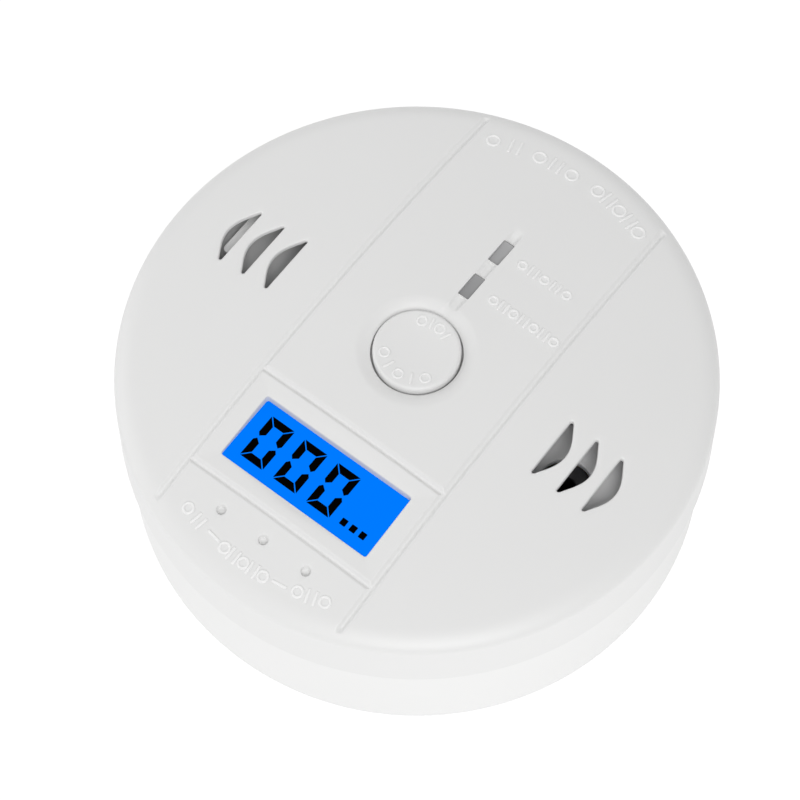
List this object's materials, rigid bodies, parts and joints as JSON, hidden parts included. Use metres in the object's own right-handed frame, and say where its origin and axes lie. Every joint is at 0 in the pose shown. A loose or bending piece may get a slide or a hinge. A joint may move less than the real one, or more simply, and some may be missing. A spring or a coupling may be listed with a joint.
{
  "type": "carbon monoxide detector",
  "caption": "Round battery carbon monoxide detector with a digital display, test button, status lights and sound slots, on a twist-off wall base.",
  "frame": {"origin": "centre of the back of the wall base, on the wall", "axes": "+Z out of the wall through the face, +Y to the top of the face as it is read, +X to the right"},
  "size_m": [0.0992, 0.0992, 0.0382],
  "materials": {
    "shell_white": "satin moulded",
    "natural_plastic": "unpigmented",
    "black_plastic": "satin",
    "light_pipe": "smoked clear",
    "led_green": "clear tinted",
    "led_red": "clear tinted",
    "display_blue": "backlit display",
    "board_green": "solder mask",
    "spring_steel": "nickel plated",
    "screw_steel": "zinc plated",
    "can_steel": "drawn",
    "filter_felt": "open felt",
    "sounder_grey": "satin",
    "piezo_brass": "plain",
    "ferrite": "sintered",
    "capacitor_sleeve": "shrink sleeve",
    "cell_jacket": "plain printed jacket",
    "lead_red": "insulation",
    "lead_black": "insulation"
  },
  "bodies": {
    "base": {"mounting_base": "shell_white"},
    "head": {"rear_housing": "shell_white", "front_cover": "shell_white", "button_spring": "spring_steel", "switch_body": "black_plastic", "light_pipe_lower": "light_pipe", "light_pipe_upper": "light_pipe", "led_green": "led_green", "led_red": "led_red", "lcd_glass": "display_blue", "lcd_backlight": "natural_plastic", "lcd_frame": "black_plastic", "lcd_pin_header": "black_plastic", "circuit_board": "board_green", "sensor_base": "black_plastic", "sensor_can": "can_steel", "dust_filter": "filter_felt", "filter_clip": "shell_white", "sounder_housing": "sounder_grey", "sounder_insert": "black_plastic", "piezo_disc": "piezo_brass", "mcu_chip": "black_plastic", "amplifier_chip": "black_plastic", "crystal": "can_steel", "inductor": "ferrite", "capacitor_large": "capacitor_sleeve", "capacitor_small": "capacitor_sleeve", "battery_1": "cell_jacket", "battery_2": "cell_jacket", "battery_3": "cell_jacket", "battery_spring_1": "spring_steel", "battery_spring_2": "spring_steel", "battery_spring_3": "spring_steel", "contact_positive": "spring_steel", "contact_negative": "spring_steel", "contact_bridge_top": "spring_steel", "contact_bridge_bottom": "spring_steel", "lead_red": "lead_red", "lead_black": "lead_black", "housing_screw_1": "screw_steel", "housing_screw_2": "screw_steel", "housing_screw_3": "screw_steel", "housing_screw_4": "screw_steel", "board_screw_1": "screw_steel", "board_screw_2": "screw_steel", "board_screw_3": "screw_steel"},
    "button": {"button_cap": "shell_white"},
    "stem": {"switch_stem": "natural_plastic"}
  },
  "joints": [
    {"name": "head_twist", "type": "hinge", "parent": "base", "child": "head", "pos_m": [0, 0, 0], "axis": [0, 0, 1], "range_deg": [0, 20]},
    {"name": "button_press", "type": "slide", "parent": "head", "child": "button", "axis": [0, 0, 1], "range_m": [-0.001, 0], "stiffness_N_per_m": 600, "springref_m": 0.0005, "deforming": ["button_spring"]},
    {"name": "stem_press", "type": "slide", "parent": "head", "child": "stem", "axis": [0, 0, 1], "range_m": [-0.00025, 0]}
  ],
  "couplings": [
    {"joint": "stem_press", "follows": "button_press", "ratio": 0.25}
  ]
}
